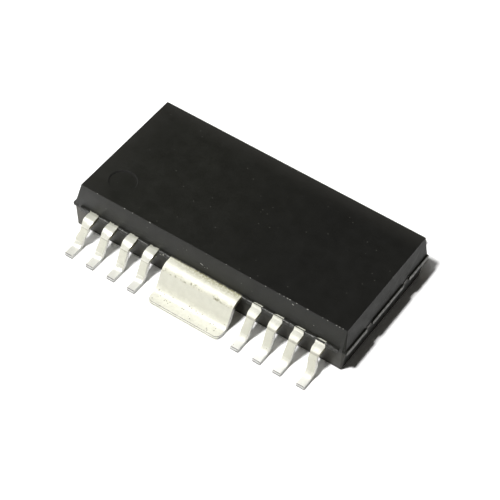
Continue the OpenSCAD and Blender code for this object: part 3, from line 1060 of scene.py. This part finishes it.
# chips and scratches in the resin, where the photograph shows them
wearForm = {
    # place along the front top edge, and size
    "edgeChips": ((-5.48, 0.030), (-4.14, 0.034), (-3.76, 0.030), (-2.92, 0.046), (0.72, 0.030),
                  (1.84, 0.026), (2.55, 0.034), (3.20, 0.028), (3.40, 0.034), (3.56, 0.050), (3.68, 0.044),
                  (3.98, 0.032), (4.48, 0.044), (5.17, 0.026), (5.39, 0.030), (5.79, 0.036), (5.93, 0.030),
                  (6.09, 0.030)),
    "chipFlat": 0.6,     # width and depth of a chip, as shares of its size
    # place on the upper front wall, half length, half width and turn
    "wallMarks": ((-0.32, 1.68, 0.085, 0.020, 12), (-0.06, 1.64, 0.030, 0.016, -30),
                  (-0.16, 1.61, 0.022, 0.014, 0), (3.85, 2.15, 0.050, 0.030, 20),
                  (-1.10, 1.95, 0.020, 0.014, 0), (4.90, 1.72, 0.022, 0.014, 40)),
    "markDeep": 0.014, "uneven": 0.25,
}


def makeNick(form, place, size, turn, seed):
    # an uneven scoop that cuts a chip out of the resin
    clearAll()
    bpy.ops.mesh.primitive_ico_sphere_add(subdivisions=2, radius=1, location=place)
    nick = nameActive("nick")
    nick.scale = size
    nick.rotation_euler = (0, math.radians(turn), 0)
    settle()
    giveFinishes(nick, "chip")
    beginEdit(nick)
    pickAll()
    roughen(min(size) * form["uneven"], seed)
    closeUp()
    endEdit()
    return nick


def makeNicks(form, body):
    slope = body["draft"] / (bodyHigh.z - sheetTop)
    nicks = []
    for x, size in form["edgeChips"]:
        edge = (x, -(sideY - body["draft"]), bodyHigh.z)
        flat = size * form["chipFlat"]
        nicks.append(makeNick(form, edge, (size, flat, flat), 0, len(nicks)))
    for x, z, long, wide, turn in form["wallMarks"]:
        wallY = -(sideY - slope * (z - sheetTop))
        nicks.append(makeNick(form, (x, wallY, z), (long, form["markDeep"], wide), turn, len(nicks)))
    return joinAll(nicks, "nicks")


def dressShell(shell, form, rim):
    torn, pale, sunk = giveFinishes(shell, "torn", "rim", "sunk")
    for face in shell.data.polygons:
        x, y, z = face.center
        outside = max(abs(x) - endX, abs(y) - sideY)
        inDimple = (face.center - rim).to_2d().length < form["dimpleWide"] / 2 + 0.03 and z > sheetTop
        # end faces and upward ledge faces up to litTo get the pale finish as a painted highlight
        lit = abs(x) > endX or face.normal.z > 0.2 and abs(x) < form["litTo"]
        if outside > ledgeOut * form["tornFrom"] and face.normal.z < facing:
            face.material_index = pale if lit else torn
        elif inDimple and 0.1 < face.normal.z < 0.998:
            face.material_index = sunk


rim = Vector((bodyForm["dimpleX"], bodyForm["dimpleY"], bodyHigh.z))
shell = makeShell(bodyForm)
giveFinishes(shell, "resin")
combine(shell, makeLedges(bodyForm, leadForm, spreaderForm), "UNION")
sinkMarks(shell, bodyForm, rim)
combine(shell, makeNicks(wearForm, bodyForm), "DIFFERENCE")
dressShell(shell, bodyForm, rim)
finishPiece(shell, "mould_resin", "mould_body", smooth=14)
print("body:", len(shell.data.polygons), "faces,", [holder.name for holder in shell.data.materials])


# scraps that moulding and trimming leave at the roots of the metal

flashForm = {
    # films of resin over the roots: how far each reaches under and over the sheet's top,
    # in how many columns its edge wanders, and how much
    "film": {"under": 0.012, "over": 0.010, "columns": 10, "ragged": 0.025},
    "line": {"under": 0.012, "over": 0.010, "columns": 10, "ragged": 0.005},
    "fin": {"under": 0.02, "over": 0.014, "columns": 64, "ragged": 0.022},
    "filmIn": 0.03, "filmOut": 0.02, "finOut": 0.035,
    # leads with a line of resin across them and its width, and where it starts
    "lined": {5: 0.03, 6: 0.03, 7: 0.04, 8: 0.09, 11: 0.03, 14: 0.05, 16: 0.03}, "lineOut": 0.06,
    # tabs of metal that trimming left at the root: lead, side of it, and length
    "tabs": ((7, 1, 0.015), (11, -1, 0.05), (14, 1, 0.05)), "tabIn": 0.02,
    "tab": {"under": 0.03, "over": 0.004, "columns": 4, "ragged": 0.012},
    # resin slivers: lead, side of it, and length
    "slivers": ((2, -1, 0.08), (3, -1, 0.10), (4, -1, 0.09), (2, 1, 0.09), (3, 1, 0.06), (4, 1, 0.05),
                (7, -1, 0.07), (8, -1, 0.08), (10, 1, 0.08), (13, -1, 0.09), (15, 1, 0.07)),
    "sliverWide": 0.028, "sliverThick": 0.024, "sliverRagged": 0.006, "sliverTip": 0.4, "sliverTurn": 18,
    # solder beads on the front: place and radius
    "beads": ((-2.45, -3.150, 0.70, 0.032), (-2.02, -3.305, 1.22, 0.022), (-2.16, -3.305, 1.14, 0.012)),
    "beadRagged": 0.15, "flashSeed": 11, "tabSeed": 23,
}


def makeFilm(name, form, side, fromX, toX, inner, outer, chance):
    # a thin film at the root of the metal, whose outer edge wanders
    near, far = sorted((side * inner, side * outer))
    film = startBlock(name, (fromX, near, sheetTop - form["under"]), (toX, far, sheetTop + form["over"]))
    columns, ragged = form["columns"], form["ragged"]
    beginEdit(film)
    pickEdges(lambda one, two: abs(one.x - two.x) > 0.05)
    bpy.ops.mesh.subdivide(number_cuts=columns - 1)
    wide = (toX - fromX) / columns
    for column in range(columns + 1):
        x = fromX + column * wide
        pickPoints(lambda point: abs(point.x - x) < wide * 0.2 and point.y * side > outer - closeBy)
        shift(0, side * chance.uniform(-ragged, ragged), 0)
    closeUp()
    endEdit()
    return film


def makeSliver(form, place, long, turn, seed):
    # a curled wedge of torn resin
    half = Vector((long, form["sliverWide"], form["sliverThick"])) / 2
    sliver = startBlock("sliver", place - half, place + half)
    beginEdit(sliver)
    pickAll()
    bpy.ops.mesh.subdivide(number_cuts=2)
    roughen(form["sliverRagged"], seed)
    pickPoints(lambda point: point.x > place.x + long * 0.3)
    bpy.ops.transform.resize(value=(1, form["sliverTip"], form["sliverTip"]))
    pickAll()
    bpy.ops.transform.rotate(value=math.radians(turn), orient_axis="Y", center_override=place)
    closeUp()
    roundSharp(0.002, 1)
    endEdit()
    return sliver


def makeFlash(form, lead, fin):
    chance = random.Random(form["flashSeed"])
    scraps = []
    half, finHalf = lead["damWide"] / 2, fin["finWide"] / 2
    rootIn = sideY - form["filmIn"]
    for number in range(1, leadCount + 1):
        x, side = leadRoot(number, lead)
        kind, inner, outer = "film", rootIn, sideY + form["filmOut"]
        if number in form["lined"]:
            kind, inner = "line", sideY + form["lineOut"]
            outer = inner + form["lined"][number]
        scraps.append(makeFilm("rootFilm", form[kind], side, x - half, x + half, inner, outer, chance))
    for side in (-1, 1):
        scraps.append(makeFilm("finFilm", form["fin"], side, -finHalf, finHalf,
                               rootIn, sideY + form["finOut"], chance))
    for number, end, long in form["slivers"]:
        x, side = leadRoot(number, lead)
        place = Vector((x + end * (half + long * 0.2), side * (sideY + ledgeOut + 0.005), sheetTop - 0.01))
        scraps.append(makeSliver(form, place, long, end * form["sliverTurn"], number))
    flash = joinAll(scraps, "rootFlash")
    giveFinishes(flash, "torn")
    return flash


def makeBurrs(form, lead):
    chance = random.Random(form["tabSeed"])
    half = lead["damWide"] / 2
    scraps = []
    for number, end, long in form["tabs"]:
        x, side = leadRoot(number, lead)
        left, right = sorted((x + end * (half - form["tabIn"]), x + end * (half + long)))
        scraps.append(makeFilm("tab", form["tab"], side, left, right,
                               sideY - form["filmIn"], sideY + form["lineOut"], chance))
    for *place, radius in form["beads"]:
        clearAll()
        bpy.ops.mesh.primitive_ico_sphere_add(subdivisions=3, radius=radius, location=place)
        settle()
        bead = nameActive("bead")
        beginEdit(bead)
        pickAll()
        roughen(radius * form["beadRagged"], len(scraps))
        endEdit()
        scraps.append(bead)
    burrs = joinAll(scraps, "rootBurrs")
    giveFinishes(burrs, "tin")
    return burrs


flash = makeFlash(flashForm, leadForm, spreaderForm)
finishPiece(flash, "mould_resin")
burrs = makeBurrs(flashForm, leadForm)
finishPiece(burrs, "tin_plate")
print("scraps:", len(flash.data.polygons), "and", len(burrs.data.polygons), "faces")


# what stays of the imported solids, inside the resin and at its ends

# the tie-bar ends take the stub finish, dark as painted shade
kept = {"tie_bar": "stub", "silicon_die": "silicon", "die_attach": "adhesive", "bond_wire": "gold"}
for node in frame["nodes"]:
    for start, key in kept.items():
        if node.startswith(start):
            target = bpy.data.objects[node]
            if not target.material_slots:
                target.data.materials.append(finishes[key])
            for holder in target.material_slots:
                holder.material = finishes[key]


# floor, light and camera

studio = {
    # tone of the paper in the light it sends back, and as the camera and mirrors see it
    "floor": 0.93, "floorSeen": 1.12, "floorBlue": 0.995, "floorSize": 1.2,
    "room": 0.045, "horizon": 0.14, "tint": (1.0, 0.96, 0.88),
    # place, width and strength of each lamp
    "key": ((-9, -42, 88), 11, 3.35), "fill": ((-150, -40, 200), 150, 0.8),
}


def makeFloor(form):
    clearAll()
    bpy.ops.mesh.primitive_plane_add(size=form["floorSize"], location=(0, 0, 0))
    floor = nameActive("paleFloor")
    # paper that reads white to the camera and in mirrors, and keeps the shadow
    material = bpy.data.materials.new("palePaper")
    material.use_nodes = True
    tree = material.node_tree
    tree.nodes.remove(tree.nodes["Principled BSDF"])
    paper = tree.nodes.new("ShaderNodeBsdfDiffuse")
    path = tree.nodes.new("ShaderNodeLightPath")
    seen = mathNode(tree, "MAXIMUM", path.outputs["Is Camera Ray"], path.outputs["Is Glossy Ray"])
    seen = mathNode(tree, "MAXIMUM", seen, path.outputs["Is Transmission Ray"])
    tones = [(tone, tone, tone * form["floorBlue"], 1) for tone in (form["floor"], form["floorSeen"])]
    tree.links.new(mixColor(tree, seen, *tones), paper.inputs["Color"])
    tree.links.new(paper.outputs["BSDF"], tree.nodes["Material Output"].inputs["Surface"])
    floor.data.materials.append(material)


def makeLamp(name, place, wide, strength):
    # a disc that lights everything evenly, near or far
    lamp = bpy.data.lights.new(name, "AREA")
    lamp.shape = "DISK"
    lamp.size = wide * milli
    lamp.energy = strength * math.pi
    lamp.use_nodes = True
    tree = lamp.node_tree
    even = tree.nodes.new("ShaderNodeLightFalloff")
    even.inputs["Strength"].default_value = 1.0
    tree.links.new(even.outputs["Constant"], tree.nodes["Emission"].inputs["Strength"])
    holder = bpy.data.objects.new(name, lamp)
    holder.location = Vector(place) * milli
    holder.rotation_euler = Vector(place).to_track_quat("Z", "Y").to_euler()
    holder.visible_camera = False
    bpy.context.scene.collection.objects.link(holder)


def makeRoom(form):
    # white at the horizon and below it, dim overhead
    world = bpy.data.worlds.new("room")
    world.use_nodes = True
    tree = world.node_tree
    place = tree.nodes.new("ShaderNodeTexCoord")
    split = tree.nodes.new("ShaderNodeSeparateXYZ")
    tree.links.new(place.outputs["Generated"], split.inputs["Vector"])
    light = spread(tree, split.outputs["Z"], 1.0, form["room"], 0.0, form["horizon"])
    tree.nodes["Background"].inputs["Color"].default_value = (*form["tint"], 1)
    tree.links.new(light, tree.nodes["Background"].inputs["Strength"])
    bpy.context.scene.world = world


viewpoint = {
    "azimuth": 27.501, "elevation": 47.731, "roll": 7.562, "distance": 80.397,
    "aim": (0.346, -0.505, 0.647), "lens": 143.13, "sensor": 36, "clipStart": 0.001,
}


def makeCamera(form):
    camera = bpy.data.cameras.new("photoCamera")
    camera.lens = form["lens"]
    camera.sensor_width = form["sensor"]
    camera.clip_start = form["clipStart"]
    holder = bpy.data.objects.new("photoCamera", camera)
    tilt = Euler((math.radians(90 - form["elevation"]), 0, math.radians(form["azimuth"]))).to_matrix()
    turn = tilt @ Matrix.Rotation(math.radians(form["roll"]), 3, "Z")
    back = turn @ Vector((0, 0, form["distance"]))
    place = (Vector(form["aim"]) + back) * milli
    holder.matrix_world = Matrix.Translation(place) @ turn.to_4x4()
    bpy.context.scene.collection.objects.link(holder)
    bpy.context.scene.camera = holder


makeFloor(studio)
makeLamp("keyLamp", *studio["key"])
makeLamp("fillLamp", *studio["fill"])
makeRoom(studio)
makeCamera(viewpoint)
bpy.context.scene.view_settings.view_transform = "Standard"
print("studio ready")
